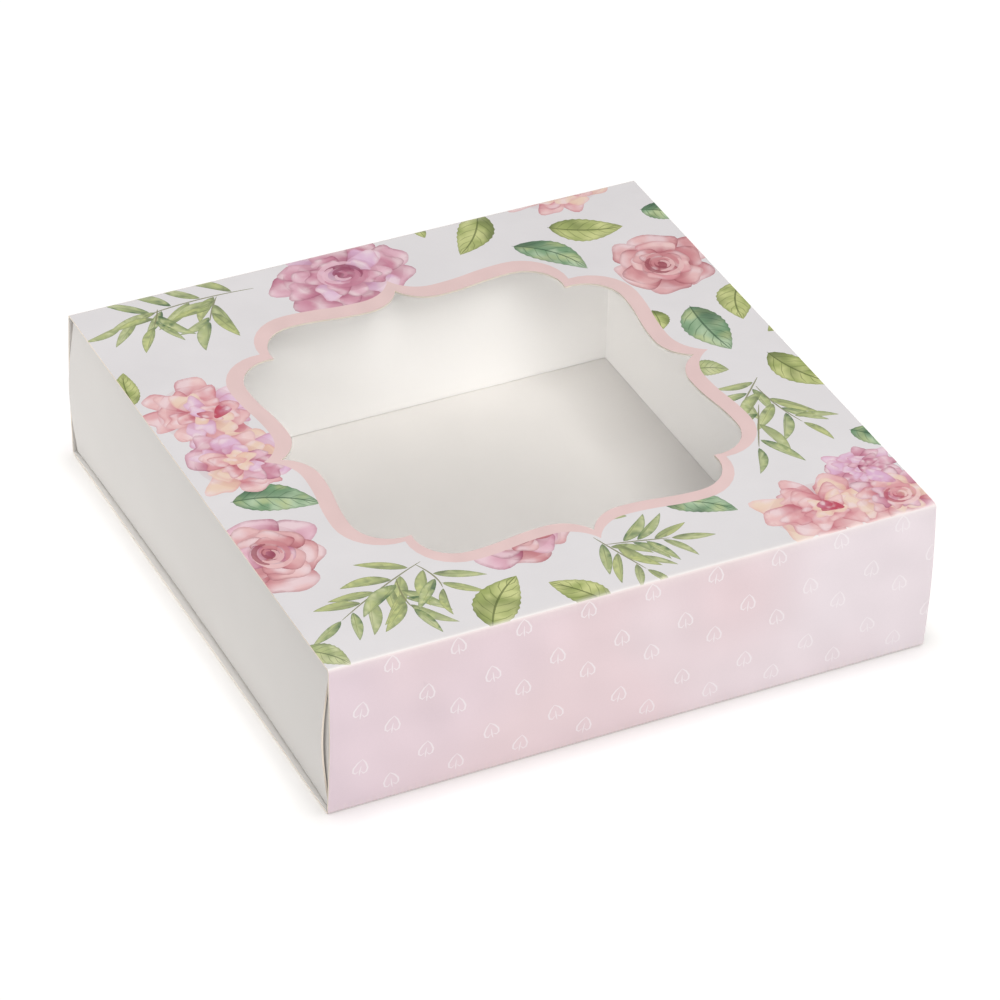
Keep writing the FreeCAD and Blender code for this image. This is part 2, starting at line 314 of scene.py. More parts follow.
def noise(tree, scale, detail=4.0, roughness=0.55):
    """Noise in the piece's own coordinates, in features per metre."""
    coords = tree.nodes.new("ShaderNodeTexCoord")
    node = tree.nodes.new("ShaderNodeTexNoise")
    node.inputs["Scale"].default_value = scale
    node.inputs["Detail"].default_value = detail
    node.inputs["Roughness"].default_value = roughness
    tree.links.new(coords.outputs["Object"], node.inputs["Vector"])
    return node.outputs["Fac"]


def spread(tree, source, low, high):
    """Stretches a 0 to 1 value over a range."""
    node = tree.nodes.new("ShaderNodeMapRange")
    node.inputs["From Min"].default_value = 0.3
    node.inputs["From Max"].default_value = 0.7
    node.inputs["To Min"].default_value = low
    node.inputs["To Max"].default_value = high
    tree.links.new(source, node.inputs["Value"])
    return node.outputs["Result"]


def tinted(tree, colour, source, low, high):
    """A colour scaled by a value. colour is a socket or a plain colour."""
    node = tree.nodes.new("ShaderNodeVectorMath")
    node.operation = "SCALE"
    if hasattr(colour, "node"):
        tree.links.new(colour, node.inputs[0])
    else:
        node.inputs[0].default_value = colour
    tree.links.new(spread(tree, source, low, high), node.inputs["Scale"])
    return node.outputs[0]


def add_bump(tree, shader, source, distance):
    """Bump from a value, with its height in metres."""
    node = tree.nodes.new("ShaderNodeBump")
    node.inputs["Distance"].default_value = distance
    node.inputs["Strength"].default_value = 0.5
    tree.links.new(source, node.inputs["Height"])
    tree.links.new(node.outputs["Normal"], shader.inputs["Normal"])


def paper_material(name, colour, rough, mottle, bump):
    """Board or paper: cloudy tone, fine fibre grain and uneven gloss."""
    material, tree, shader = new_material(name)
    if colour is None:
        attribute = tree.nodes.new("ShaderNodeAttribute")
        attribute.attribute_name = "print"
        colour = attribute.outputs["Color"]
    clouds = tinted(tree, colour, noise(tree, 60.0, 3.0), 1 - mottle, 1 + mottle)
    grain = noise(tree, 2600.0, 5.0, 0.7)
    fibres = tinted(tree, clouds, grain, 1 - mottle * 0.8, 1 + mottle * 0.8)
    tree.links.new(fibres, shader.inputs["Base Color"])
    tree.links.new(spread(tree, noise(tree, 240.0), rough - 0.06, rough + 0.06), shader.inputs["Roughness"])
    shader.inputs["Specular IOR Level"].default_value = 0.35
    add_bump(tree, shader, grain, bump)
    return material


def film_material():
    """Clear film: a thin veil over what is behind it, with faint haze streaks."""
    material, tree, shader = new_material("clear_film")
    veil = tinted(tree, (0.93, 0.94, 0.95), noise(tree, 30.0), 0.97, 1.03)
    tree.links.new(veil, shader.inputs["Base Color"])
    shader.inputs["Alpha"].default_value = 0.1
    tree.links.new(spread(tree, noise(tree, 90.0), 0.05, 0.12), shader.inputs["Roughness"])
    return material


MATERIALS = {
    "print": paper_material("printed_paper", None, 0.46, 0.018, 0.00002),
    "board": paper_material("white_board", srgb(228, 226, 223), 0.62, 0.012, 0.00003),
    # The same board as outside, painted lighter: painted light that brightens the faces inside the tray.
    "inner": paper_material("inner_board_painted_light", srgb(243, 241, 238), 0.62, 0.012, 0.00003),
    # The same board painted darker for the tray floor's top face: painted shade that tones down the light
    # from the window beams.
    "shaded_floor": paper_material("floor_board_painted_shade", srgb(218, 214, 209), 0.8, 0.02, 0.00005),
    "edge": paper_material("cut_edge", srgb(244, 234, 220), 0.85, 0.05, 0.00006),
    "glue": paper_material("dried_glue", srgb(232, 226, 206), 0.4, 0.05, 0.00005),
    "film": film_material(),
}

# ---------------------------------------------------------------- warps of thin board

SLEEVE_BULGE = 1.0  # front and back walls, outwards
END_BULGE = 1.7  # tray's end walls, outwards
FOLD_SAG = (0.7, 0.5)  # bottom fold of an end wall, inwards and upwards in its middle
SIDE_BULGE = 1.2  # tray's side walls, outwards
CORNER_PULL = 1.3  # tray's upright corner folds, outwards at mid height
TAB_RUN = 5.0  # from a tab's fold to where it lies against the end wall
TAB_FOLLOW = 0.93  # share of the end wall's bow that a tab takes on
FLOOR_RUN = 12.0  # from an end fold to where the tray's floor lies flat
FLOOR_WAVE = 0.12
FILM_RIPPLE = 0.05


def sleeve_warp(points):
    """The sleeve's long walls bow out a little, more so at their open ends."""
    rise = np.sin(np.pi * (points[:, 2] / HEIGHT).clip(0, 1))
    ends = 0.8 + 0.2 * (points[:, 0] / HALF_LENGTH) ** 2
    lean = np.clip((np.abs(points[:, 1]) - HALF_WIDTH + 2) / 2, 0, 1)
    moved = points.copy()
    moved[:, 1] += np.sign(points[:, 1]) * lean * rise * ends * SLEEVE_BULGE
    return moved


def tray_level(points):
    """Height share in the tray's outer walls, 0 at the bottom folds and 1 at the top ones."""
    return ((points[:, 2] - TRAY_UNDERSIDE) / (TRAY_TOP - TRAY_UNDERSIDE)).clip(0, 1)


def end_warp(points):
    """An end wall bows out between its folds, and its bottom fold bows in and up towards the middle."""
    level = tray_level(points)
    edges = 0.5 + 0.5 * (points[:, 1] / TRAY_Y) ** 2
    sag = np.cos(np.pi / 2 * (points[:, 1] / TRAY_Y).clip(-1, 1)) ** 0.7 * (1 - level) ** 4
    bulge = np.sin(np.pi * level) ** 1.3 * edges * END_BULGE
    moved = points.copy()
    moved[:, 0] += np.sign(points[:, 0]) * (bulge - sag * FOLD_SAG[0])
    moved[:, 2] += sag * FOLD_SAG[1]
    return moved


def side_warp(points):
    """A side wall bows out, and its ends are pulled along by the tabs on the bowed end walls."""
    rise = np.sin(np.pi * tray_level(points))
    near_end = ((np.abs(points[:, 0]) - TRAY_X + TAB_RUN) / TAB_RUN).clip(0, 1) ** 2
    moved = points.copy()
    moved[:, 0] += np.sign(points[:, 0]) * rise * near_end * CORNER_PULL
    moved[:, 1] += np.sign(points[:, 1]) * rise * SIDE_BULGE
    return moved


def tab_warp(points):
    """A corner tab starts at its bowed fold and comes to lie against the bowed end wall."""
    follow = ((TRAY_Y - np.abs(points[:, 1])) / TAB_RUN).clip(0, 1)[:, None]
    against_wall = points + (end_warp(points) - points) * X * TAB_FOLLOW
    return side_warp(points) * (1 - follow) + against_wall * follow


def floor_warp(points):
    """The tray's floor meets the bowed bottom folds, and has slow, shallow waves."""
    near_end = ((np.abs(points[:, 0]) - TRAY_X + FLOOR_RUN) / FLOOR_RUN).clip(0, 1) ** 2
    moved = points + (end_warp(points) - points) * near_end[:, None]
    wave = np.sin(points[:, 0] / 31 + 1.0) * np.sin(points[:, 1] / 27 + 0.4)
    moved[:, 2] += FLOOR_WAVE * (1 + wave) * (1 - near_end)
    return moved


# ---------------------------------------------------------------- printed pattern
#
# A wash is one painted shape: a closed outline and a paint function that gives a colour and a
# strength at each point. Washes are laid over each other like watercolour.


def mix(low, high, share):
    """Blend of two colours at each point."""
    share = np.clip(np.asarray(share, float), 0, 1).reshape(-1, 1)
    return low * (1 - share) + high * share


def cloud(points, size, seed):
    """Smooth noise from about -1 to 1, with blotches of that size."""
    rng = np.random.default_rng(seed)
    total = np.zeros(len(points))
    for _ in range(7):
        heading, phase = rng.uniform(0, 2 * math.pi, 2)
        stretch = rng.uniform(0.5, 1.5) * 2 * math.pi / size
        total += np.sin(points @ (np.array([math.cos(heading), math.sin(heading)]) * stretch) + phase)
    return total / 3


def rim_distance(points, outline):
    """Distance from each point to a closed outline."""
    start = np.asarray(outline)
    step = np.roll(start, -1, axis=0) - start
    offset = points[:, None] - start
    share = (offset * step).sum(2) / np.maximum((step**2).sum(1), 1e-12)
    return np.linalg.norm(offset - share.clip(0, 1)[:, :, None] * step, axis=2).min(1)


def unit(vector):
    """Direction of a vector, and its length."""
    length = math.hypot(*vector)
    return np.array(vector) / length, length


def petal(base, tip, width, tones, seed, ruffle=0.05):
    """Rounded petal, dark at its base, with blotches, streaks and a darker rim on one side."""
    rng = np.random.default_rng(seed)
    dark, middle, light = tones
    axis, length = unit(np.subtract(tip, base))
    side = np.array([-axis[1], axis[0]])
    angle = np.linspace(0, 2 * math.pi, 33)[:-1]
    up = (1 - np.cos(angle)) / 2
    phase = rng.uniform(0, 2 * math.pi)
    ripple = 1 + ruffle * (np.sin(angle * 3 + phase) + 0.6 * np.sin(angle * 5 - phase))
    across = np.sin(angle) * (0.45 + 0.55 * up) * width / 2
    outline = base + np.outer(up * length * ripple, axis) + np.outer(across * ripple, side)
    shade_side = rng.choice([-1.0, 1.0])
    tint = rng.uniform(-0.3, 0.2)

    def paint(points):
        away = points - base
        along = away @ axis / length
        lean = away @ side / width * shade_side
        streak = np.sin(np.arctan2(away @ side, away @ axis + length * 0.3) * 24 + phase)
        blotch = 0.26 * cloud(points, width, seed) + 0.16 * cloud(points, width * 0.4, seed + 1)
        blotch += 0.07 * streak
        colour = mix(dark, middle, along * 1.8 + blotch + 0.05)
        colour = mix(colour, light, (along - 0.35) * 1.3 + lean + blotch + tint)
        thin = 0.8 * cloud(points, width * 0.6, seed + 2) + along - 0.75
        colour = mix(colour, THIN_WASH, thin.clip(0, 0.7))
        rim = np.exp(-rim_distance(points, outline) / 0.3)
        return mix(colour, dark, rim * (0.5 - 0.5 * lean)), np.full(len(points), 0.97)

    return outline, paint


def shade(centre, radius, colour, strength):
    """Round soft shadow under the inner petals of a flower."""
    angle = np.linspace(0, 2 * math.pi, 25)[:-1]
    outline = centre + np.stack([np.cos(angle), np.sin(angle)], axis=1) * radius

    def paint(points):
        reach = np.linalg.norm((points - centre) / radius, axis=1)
        return np.tile(colour, (len(points), 1)), strength * (1.15 - reach).clip(0, 1) ** 0.8

    return outline, paint


def stroke(path, width, colour, strength):
    """Brush line along a path, thin at both ends. width is one value or one for each point."""
    path = np.asarray(path, float)
    heading = np.gradient(path, axis=0)
    heading /= np.linalg.norm(heading, axis=1, keepdims=True)
    side = np.stack([-heading[:, 1], heading[:, 0]], axis=1)
    taper = np.sin(np.linspace(0.12, math.pi - 0.12, len(path))) ** 0.5
    half = (np.asarray(width) / 2 * taper)[:, None]
    outline = np.vstack([path + side * half, (path - side * half)[::-1]])

    def paint(points):
        return np.tile(colour, (len(points), 1)), np.full(len(points), strength)

    return outline, paint


# Rings of a flower: where its petals start and how far they reach, as shares of the flower's half
# size, how many there are, and how wide each is.
ROSE_RINGS = ((0.20, 0.78, 6, 1.06), (0.16, 0.60, 5, 0.92), (0.08, 0.50, 5, 0.72), (0.04, 0.36, 4, 0.52))
PEONY_RINGS = (
    (0.32, 0.68, 7, 0.80),
    (0.26, 0.56, 7, 0.64),
    (0.16, 0.50, 6, 0.56),
    (0.08, 0.40, 5, 0.44),
    (0.00, 0.30, 4, 0.34),
)


def flower(centre, radius, palettes, seed, rings, heart=True, ruffle=0.05):
    """Bloom from rings of petals, outer ones first. radius is its half size across and along."""
    rng = np.random.default_rng(seed)
    centre, radius = np.array(centre, float), np.array(radius, float) * np.ones(2)
    size = radius.mean()
    washes = []
    for level, (start, reach, count, width) in enumerate(rings):
        turn = rng.uniform(0, 2 * math.pi)
        for index in rng.permutation(count):
            heading = turn + (index + rng.uniform(-0.25, 0.25)) * 2 * math.pi / count
            axis = np.array([math.cos(heading), math.sin(heading)]) * radius
            stretch = rng.uniform(0.88, 1.08)
            base, tip = centre + axis * (start - 0.12), centre + axis * (start + reach) * stretch
            tones = palettes[int(rng.integers(len(palettes)))]
            petal_seed = seed * 100 + level * 20 + int(index)
            washes.append(petal(base, tip, width * size * rng.uniform(0.85, 1.15), tones, petal_seed, ruffle))
        if level + 1 < len(rings):
            washes.append(shade(centre, radius * sum(rings[level + 1][:2]) * 0.98, palettes[0][0], 0.5))
    if heart:
        washes += rose_heart(centre, radius, palettes[0], turn)
    return washes


def rose_heart(centre, radius, tones, turn):
    """Closed middle of a rose: curled bands round a dark centre, light and dark by turns."""
    dark, middle, light = tones
    washes = [shade(centre, radius * 0.36, dark, 0.5)]
    for level in range(8):
        size = radius * (0.33 - 0.037 * level)
        angles = turn + level * 2.35 + np.linspace(0, 2.9, 11)
        drift = 0.03 * radius * np.array([math.cos(5.0 * level), math.sin(3.0 * level)])
        path = centre + drift + np.stack([np.cos(angles), np.sin(angles)], axis=1) * size
        tone = (light, middle, dark)[level % 3]
        washes.append(stroke(path, radius.mean() * (0.11 - 0.008 * level), tone, 0.75))
    return washes


def leaf(base, tip, width, tones, seed, bend=0.06, teeth=0.03, veins=6):
    """Leaf with a bent midrib, a toothed edge, one half darker, and side veins."""
    base, tip = np.array(base, float), np.array(tip, float)
    dark, middle, light = tones
    axis, length = unit(tip - base)
    side = np.array([-axis[1], axis[0]])

    def spine(share):
        return base + np.outer(share * length, axis) + np.outer(4 * share * (1 - share) * bend * length, side)

    def half_width(share):
        return width / 2 * np.sin(math.pi * share**0.8) ** 0.85

    share = np.linspace(0.0, 1.0, 22)
    saw = 1 + teeth * np.where(np.arange(22) % 2, 1.0, -1.0)
    reach = np.outer(half_width(share) * saw, side)
    outline = np.vstack([spine(share) + reach, (spine(share) - reach)[-2:0:-1]])

    def paint(points):
        along = (points - base) @ axis / length
        bow = 4 * along.clip(0, 1) * (1 - along.clip(0, 1)) * bend * length
        lean = ((points - base) @ side - bow) / (width / 2)
        blotch = cloud(points, width * 0.55, seed)
        colour = mix(middle, light, 0.3 + 0.5 * blotch - lean * 0.5 + (along - 0.4) * 0.8)
        colour = mix(colour, LIME_LIGHT, (0.5 * cloud(points, width * 0.7, seed + 2)).clip(0, 0.45))
        deep = 0.3 * (lean > 0) + 0.5 * cloud(points, width * 0.9, seed + 1) + 0.9 * (0.28 - along)
        colour = mix(colour, dark, deep.clip(0, 0.85))
        rim = np.exp(-rim_distance(points, outline) / 0.3)
        return mix(colour, dark, rim * 0.55), np.full(len(points), 0.96)

    washes = [(outline, paint)]
    if veins:
        ink = dark * 0.72
        washes.append(stroke(spine(np.linspace(-0.02, 0.97, 9)), 0.05 * width, ink, 0.7))
        for index in range(veins):
            root = 0.1 + 0.68 * index / max(veins - 1, 1)
            end = min(root + 0.2, 0.97)
            for sign in (-1, 1):
                start_point = spine(np.array([root]))[0]
                end_point = spine(np.array([end]))[0] + sign * side * half_width(np.array([end]))[0] * 0.86
                middle_point = (start_point + end_point) / 2 + sign * side * 0.06 * width
                washes.append(stroke([start_point, middle_point, end_point], 0.028 * width, ink, 0.5))
    return washes


def curve(start, control, end, count):
    """Points of a quadratic curve."""
    share = np.linspace(0, 1, count)[:, None]
    start, control, end = (np.array(p, float) for p in (start, control, end))
    return (1 - share) ** 2 * start + 2 * share * (1 - share) * control + share**2 * end


def branch(start, control, end, leaf_length, count, seed):
    """Twig with narrow leaves that alternate along it and one at its end."""
    rng = np.random.default_rng(seed)
    path = curve(start, control, end, 24)
    washes = [stroke(path, 0.42, STALK, 0.9)]
    palettes = [OLIVE, (OLIVE_DARK, OLIVE_MID, LIME_LIGHT), (JADE_DARK, OLIVE_MID, OLIVE_LIGHT)]
    for index in range(count + 1):
        last = index == count
        at = 23 if last else int(3 + 19 * (index + 0.3) / count)
        heading = path[at] - path[at - 2]
        heading = math.atan2(heading[1], heading[0])
        if not last:
            heading += (-1, 1)[index % 2] * rng.uniform(0.55, 0.95)
        size = leaf_length * rng.uniform(0.82, 1.12) * (1 - 0.25 * index / (count + 1))
        way = np.array([math.cos(heading), math.sin(heading)])
        base = path[at] + way * 0.5
        shade_of_green = palettes[int(rng.integers(len(palettes)))]
        bend = rng.uniform(-0.1, 0.1)
        width = size * rng.uniform(0.20, 0.27)
        washes += leaf(base, base + way * size, width, shade_of_green, seed * 50 + index, bend, 0.0, 0)
        rib = [path[at], base + way * size * 0.45, base + way * size * 0.8]
        washes.append(stroke(rib, 0.16, STALK * 0.8, 0.5))
    return washes


ROSE = (ROSE_DARK, ROSE_MID, ROSE_LIGHT)
DUSTY = (DUSTY_DARK, DUSTY_MID, DUSTY_LIGHT)
BLUSH = (BLUSH_DARK, BLUSH_MID, BLUSH_LIGHT)
PEACHY = (BLUSH_MID, PEACH, srgb(238, 216, 198))
LILACY = (ROSE_MID, LILAC, srgb(232, 206, 224))
LIME = (LIME_DARK, LIME_MID, LIME_LIGHT)
OLIVE = (OLIVE_DARK, OLIVE_MID, OLIVE_LIGHT)
JADE = (JADE_DARK, JADE_MID, JADE_LIGHT)

BORDER_WIDTH = 4.0
BORDER_DRIFT = 0.6  # the print sits a little towards the back of the cut


def bouquet():
    """Every wash of the floral print, back to front, in the top panel's plan."""
    washes = []
    # Twigs.
    washes += branch((-30.5, 67.8), (-50, 70), (-65, 65.5), 14.0, 8, 11)
    washes += branch((-40, 68), (-43, 64), (-45.5, 59), 14.0, 5, 12)
    washes += branch((-55, 68.5), (-56, 66), (-58.5, 62), 12.5, 4, 13)
    washes += branch((62, -14), (58, -18), (53, -23), 10.5, 4, 14)
    washes += branch((60, -17), (60, -26), (63, -34), 12.0, 6, 15)
    washes += branch((57, -24), (52, -33), (49, -39), 13.5, 4, 16)
    washes += branch((-40.5, -47.5), (-52, -52), (-65, -60), 14.0, 8, 17)
    washes += branch((-48, -51), (-50, -58), (-49, -62), 13.5, 6, 18)
    washes += branch((-42, -48), (-39, -54), (-40, -58), 12.0, 4, 19)
    washes += branch((-1.5, -55), (1, -62), (4, -70), 12.0, 5, 20)
    washes += branch((0, -58.5), (7, -60), (14, -62), 12.5, 7, 21)
    # Single leaves.
    washes += leaf((-75, 34), (-72.5, 47), 6.0, LIME, 31)
    washes += leaf((15.8, 77), (16.4, 71.5), 3.0, LIME, 32, veins=3)
    washes += leaf((33, 77), (21, 61.2), 9.0, LIME, 33, 0.08)
    washes += leaf((46, 63.6), (63, 57), 10.0, LIME, 34, -0.08)
    washes += leaf((34.5, 59.5), (46.6, 43.5), 9.0, JADE, 35, 0.12)
    washes += leaf((70.5, 62), (80, 55), 8.0, JADE, 36)
    washes += leaf((52.5, 21.0), (50.5, 12.5), 5.5, LIME, 37, veins=4)
    washes += leaf((61.5, 18.8), (62, -1.2), 10.8, JADE, 38, -0.04)
    washes += leaf((78, 24), (70.6, 9), 9.0, LIME, 39, -0.1)
    washes += leaf((80, 6), (73.5, 2), 4.0, LIME, 40, veins=3)
    washes += leaf((49, -5), (57.5, -8.5), 6.5, OLIVE, 41, 0.1)
    washes += leaf((69.2, -6.0), (78, -24), 9.5, LIME, 42, -0.08)
    washes += leaf((-69.5, -10.2), (-51.5, -18.6), 10.2, JADE, 43, 0.1)
    washes += leaf((-78, -66), (-69.6, -75), 7.0, OLIVE, 44, 0.1)
    washes += leaf((-36.2, -75.5), (-23.4, -60.8), 10.5, LIME, 45, 0.08)
    washes += leaf((-8.5, -79), (-18, -65.8), 8.5, LIME, 46, -0.06)
    washes += leaf((2, -47.5), (9, -50.8), 4.0, OLIVE, 47, veins=3)
    washes += leaf((18.6, -49.5), (33, -58.8), 8.0, JADE, 48, 0.1)
    washes += leaf((71.5, -41.5), (80, -52), 7.5, JADE, 49)
    # Flowers.
    washes += flower((55, 78.5), (15, 10), (BLUSH, PEACHY, BLUSH), 61, PEONY_RINGS, False, 0.1)
    washes += flower((-8.5, 64.5), (18.5, 15.5), (ROSE, ROSE, LILACY), 62, PEONY_RINGS, True, 0.07)
    washes += flower((64, 38.2), (13.2, 14), (DUSTY, DUSTY, BLUSH), 63, ROSE_RINGS)
    washes += flower((-62, 24), (13, 15), (BLUSH, PEACHY, BLUSH, LILACY), 64, PEONY_RINGS, False, 0.1)
    washes += flower((-61.5, 4), (13, 13.5), (BLUSH, ROSE, LILACY, PEACHY), 65, PEONY_RINGS, False, 0.1)
    washes += flower((-69.5, -31.5), (13, 15), (DUSTY, ROSE, DUSTY), 66, ROSE_RINGS)
    washes += flower((-16.7, -47), (13.8, 12.5), (DUSTY, ROSE), 67, ROSE_RINGS)
    washes += flower((66.5, -55.5), (10, 8), (LILACY, ROSE, LILACY), 68, PEONY_RINGS, False, 0.1)
    washes += flower((52, -66), (17.5, 12), (BLUSH, PEACHY, BLUSH), 69, PEONY_RINGS, False, 0.1)
    washes += flower((69.5, -68), (12, 11), (BLUSH, ROSE, PEACHY), 70, PEONY_RINGS, True, 0.1)
    washes.append(petal((-60, 21.5), (-55.5, 25.5), 4.6, (CRIMSON, CRIMSON, ROSE_MID), 71))
    washes.append(petal((55.5, -67.5), (50.5, -64), 4.8, (CRIMSON, CRIMSON, ROSE_MID), 72))
    washes.append(petal((71, -63.5), (66.5, -57.5), 5.6, (ROSE_MID, LILAC, LILAC), 73))
    # Border band round the window.
    band = np.array(window_outline(BORDER_WIDTH, WINDOW_SHIFT + BORDER_DRIFT))

    def paint_band(points):
        tone = 1 + 0.02 * cloud(points, 9.0, 81)
        return BORDER * tone[:, None], np.ones(len(points))

    washes.append((band, paint_band))
    return washes


def printed_sheet(outline, holes, creases, washes, ground, pitch):
    """Plan of a printed sheet and the colour at each corner of its triangles, with a painted highlight along
    its creases.
    """
    half_a, half_b = np.abs(np.array(outline)).max(axis=0)
    loops = list(creases) + [w[0] for w in washes]
    points = lattice(half_a, half_b, pitch)
    for shape, _ in washes:
        middle = shape.mean(axis=0)
        points.extend(middle + (shape - middle) * 0.82)
    points = [p for p in points if abs(p[0]) < half_a and abs(p[1]) < half_b]
    verts, tris = triangulate(outline, holes, loops, points)
    corners = verts[tris.ravel()]
    middles = verts[tris].mean(axis=1)
    colours = ground(corners)
    for shape, paint in washes:
        low, high = shape.min(axis=0), shape.max(axis=0)
        near = np.flatnonzero(((middles >= low) & (middles <= high)).all(axis=1))
        near = near[inside(middles[near], shape)]
        if len(near) == 0:
            continue
        at = (near[:, None] * 3 + np.arange(3)).ravel()
        colour, strength = paint(corners[at])
        colours[at] = mix(colours[at], colour, strength)
    # Painted highlight: the print fades towards pale cream along each crease, where the fold would catch the
    # light.
    highlight_share = (np.abs(corners[:, 1]) - half_b + 2.2 * ARC_HALF) / (2 * ARC_HALF)
    return (verts, tris), mix(colours, CREASE_HIGHLIGHT, 0.5 * highlight_share.clip(0, 1) ** 2)


# ---------------------------------------------------------------- pieces of the sleeve


FLAP_TAPER = 3.0  # how far the glue flap's ends slant in
TOP_PITCH, WALL_PITCH, BASE_PITCH = 1.3, 2.0, 3.0  # spacing of the points between the painted outlines


def panel_plan(half_a, flat, far, holes=()):
    """Plan of a strip of board that rolls over a crease at each long side."""
    loops = crease_loops(half_a, flat, far)
    return triangulate(rectangle(half_a, far, 2.0), holes, loops, lattice(half_a, far, 2.0))


def sleeve_strip(normal, half_across, distance):
    """Strip for one of the sleeve's panels."""
    across = Y * normal[2] if normal[2] else Z
    along = np.cross(across, normal)
    centre = Z * HEIGHT / 2 + normal * distance
    return fold_strip(centre, along, across, normal, half_across - CREASE)


def make_sleeve():
    """Four panels of board with the print on their outer faces, and the glue flap."""
    print_finish = dict(slot="pink_print", warp=sleeve_warp)
    flat_wide, flat_tall = HALF_WIDTH - CREASE, HEIGHT / 2 - CREASE
    far_wide, far_tall = flat_wide + ARC_HALF, flat_tall + ARC_HALF
    window = window_outline()

    top = sleeve_strip(Z, HALF_WIDTH, HEIGHT / 2)
    plan = panel_plan(HALF_LENGTH, flat_wide, far_wide, [window])
    board_piece("sleeve_top", plan, top, "sleeve", ["sleeve_top_panel"], warp=sleeve_warp)
    outline = rectangle(HALF_LENGTH, far_wide, 1.5)
    creases = crease_loops(HALF_LENGTH, flat_wide, far_wide)
    sheet, colours = printed_sheet(outline, [window], creases, bouquet(), paper_ground, TOP_PITCH)
    skin_piece("floral_print_layer", sheet, colours, top, "sleeve", "floral_print", sleeve_warp)

    front = sleeve_strip(-Y, HEIGHT / 2, HALF_WIDTH)
    back = sleeve_strip(Y, HEIGHT / 2, HALF_WIDTH)
    under = sleeve_strip(-Z, HALF_WIDTH, HEIGHT / 2)
    plan = panel_plan(HALF_LENGTH, flat_tall, far_tall)
    for side, put in (("front", front), ("back", back)):
        node = f"sleeve_{side}_wall"
        board_piece("sleeve_" + side, plan, put, "sleeve", [node], warp=sleeve_warp)
    plan = panel_plan(HALF_LENGTH, flat_wide, far_wide)
    board_piece("sleeve_base", plan, under, "sleeve", ["sleeve_base_panel"], warp=sleeve_warp)

    outline = rectangle(HALF_LENGTH, far_tall, 1.5)
    creases = crease_loops(HALF_LENGTH, flat_tall, far_tall)
    sheet, colours = printed_sheet(outline, [], creases, sprig_rows(), pink_ground, WALL_PITCH)
    for side, put in (("front", front), ("back", back)):
        skin_piece(side + "_print_layer", sheet, colours, put, "sleeve", **print_finish)
    outline = rectangle(HALF_LENGTH, far_wide, 3.0)
    creases = crease_loops(HALF_LENGTH, flat_wide, far_wide)
    sheet, colours = printed_sheet(outline, [], creases, [], pink_ground, BASE_PITCH)
    skin_piece("base_print_layer", sheet, colours, under, "sleeve", **print_finish)

    low, high = cad("sleeve_glue_flap")
    flap = wall_strip(Y, high[1], low[2] - CREASE, high[2] + CREASE)
    half = (high[2] - low[2]) / 2
    narrow = high[0] - FLAP_TAPER
    corners = [(-high[0], -half), (high[0], -half), (narrow, half), (-narrow, half)]
    plan = triangulate(polygon(corners, 3.0))
    board_piece("sleeve_flap", plan, flap, "sleeve", ["sleeve_glue_flap"])


def paper_ground(points):
    """White of the floral sheet, barely cloudy."""
    return PAPER * (1 + 0.008 * cloud(points, 30.0, 5))[:, None]


def pink_ground(points):
    """Pale pink wash: lilac at the left, warmer in the middle and paler at the right."""
    left, middle, right = srgb(219, 202, 210), srgb(221, 202, 206), srgb(224, 214, 219)
    across = points[:, 0] / HALF_LENGTH + 0.18 * cloud(points, 45.0, 6)
    colour = mix(mix(left, middle, (across + 1) * 1.3), right, across * 1.25)
    return colour * (1 + 0.02 * cloud(points, 16.0, 7))[:, None]


SPRIG_PITCH = 15.8
SPRIG_WHITE = srgb(234, 228, 231)
# Rows of sprigs: how far below the top edge, and how far the first one is from the left edge.
SPRIG_ROWS = ((2.8, 15.0), (12.7, 7.5), (18.8, 15.0), (28.5, 7.5), (34.7, 15.0))


def sprig(x, y, tilt):
    """Tiny white outline of a rounded leaf on a stem."""
    turn = np.array([[math.cos(tilt), -math.sin(tilt)], [math.sin(tilt), math.cos(tilt)]])

    def drawn(points, width):
        return stroke(np.array([x, y]) + np.array(points) @ turn.T, width, SPRIG_WHITE, 0.75)

    washes = [drawn([(0.1, -2.3), (0, -1.2), (0.05, 0.4)], 0.36)]
    for sign in (-1, 1):
        lobe = [(0, 2.2), (1.0, 1.2), (1.75, -0.2), (1.65, -1.3), (1.0, -1.7), (0.35, -1.1)]
        washes.append(drawn([(sign * a, b) for a, b in lobe], 0.42))
    return washes


def sprig_rows():
    """The small white repeat on the pink walls."""
    rng = np.random.default_rng(90)
    washes = []
    for below, first in SPRIG_ROWS:
        for x in np.arange(first - HALF_LENGTH, HALF_LENGTH, SPRIG_PITCH):
            washes += sprig(x, HEIGHT / 2 - below, rng.uniform(-0.2, 0.2))
    return washes


def make_film():
    """Window film, a thin closed sheet with slow ripples, glued under the top panel."""
    low, high = cad("window_film")
    plan = triangulate(rectangle(high[0], high[1], 4.0), points=lattice(high[0], high[1], 4.0))

    def put(points, depth):
        ripple = FILM_RIPPLE * (cloud(points, 60.0, 3) - 1)
        return np.column_stack([points, high[2] - depth + ripple])

    thickness = high[2] - low[2]
    finishes = ("film", "film", "film")
    board_piece("clear_window", plan, put, "sleeve", ["window_film"], thickness, None, finishes)


# ---------------------------------------------------------------- pieces of the tray

# Each side's name, its outward direction, and how far out its outer and inner walls stand.
SIDES = (
    ("left", -X, TRAY_X, INNER_X),
    ("right", X, TRAY_X, INNER_X),
    ("front", -Y, TRAY_Y, INNER_Y),
    ("back", Y, TRAY_Y, INNER_Y),
)
GLUE_GAP = 0.05
TAB_TAPER = 3.0  # how far a corner tab narrows at its free edge, each side
FULL_FOLD_STEPS = 5


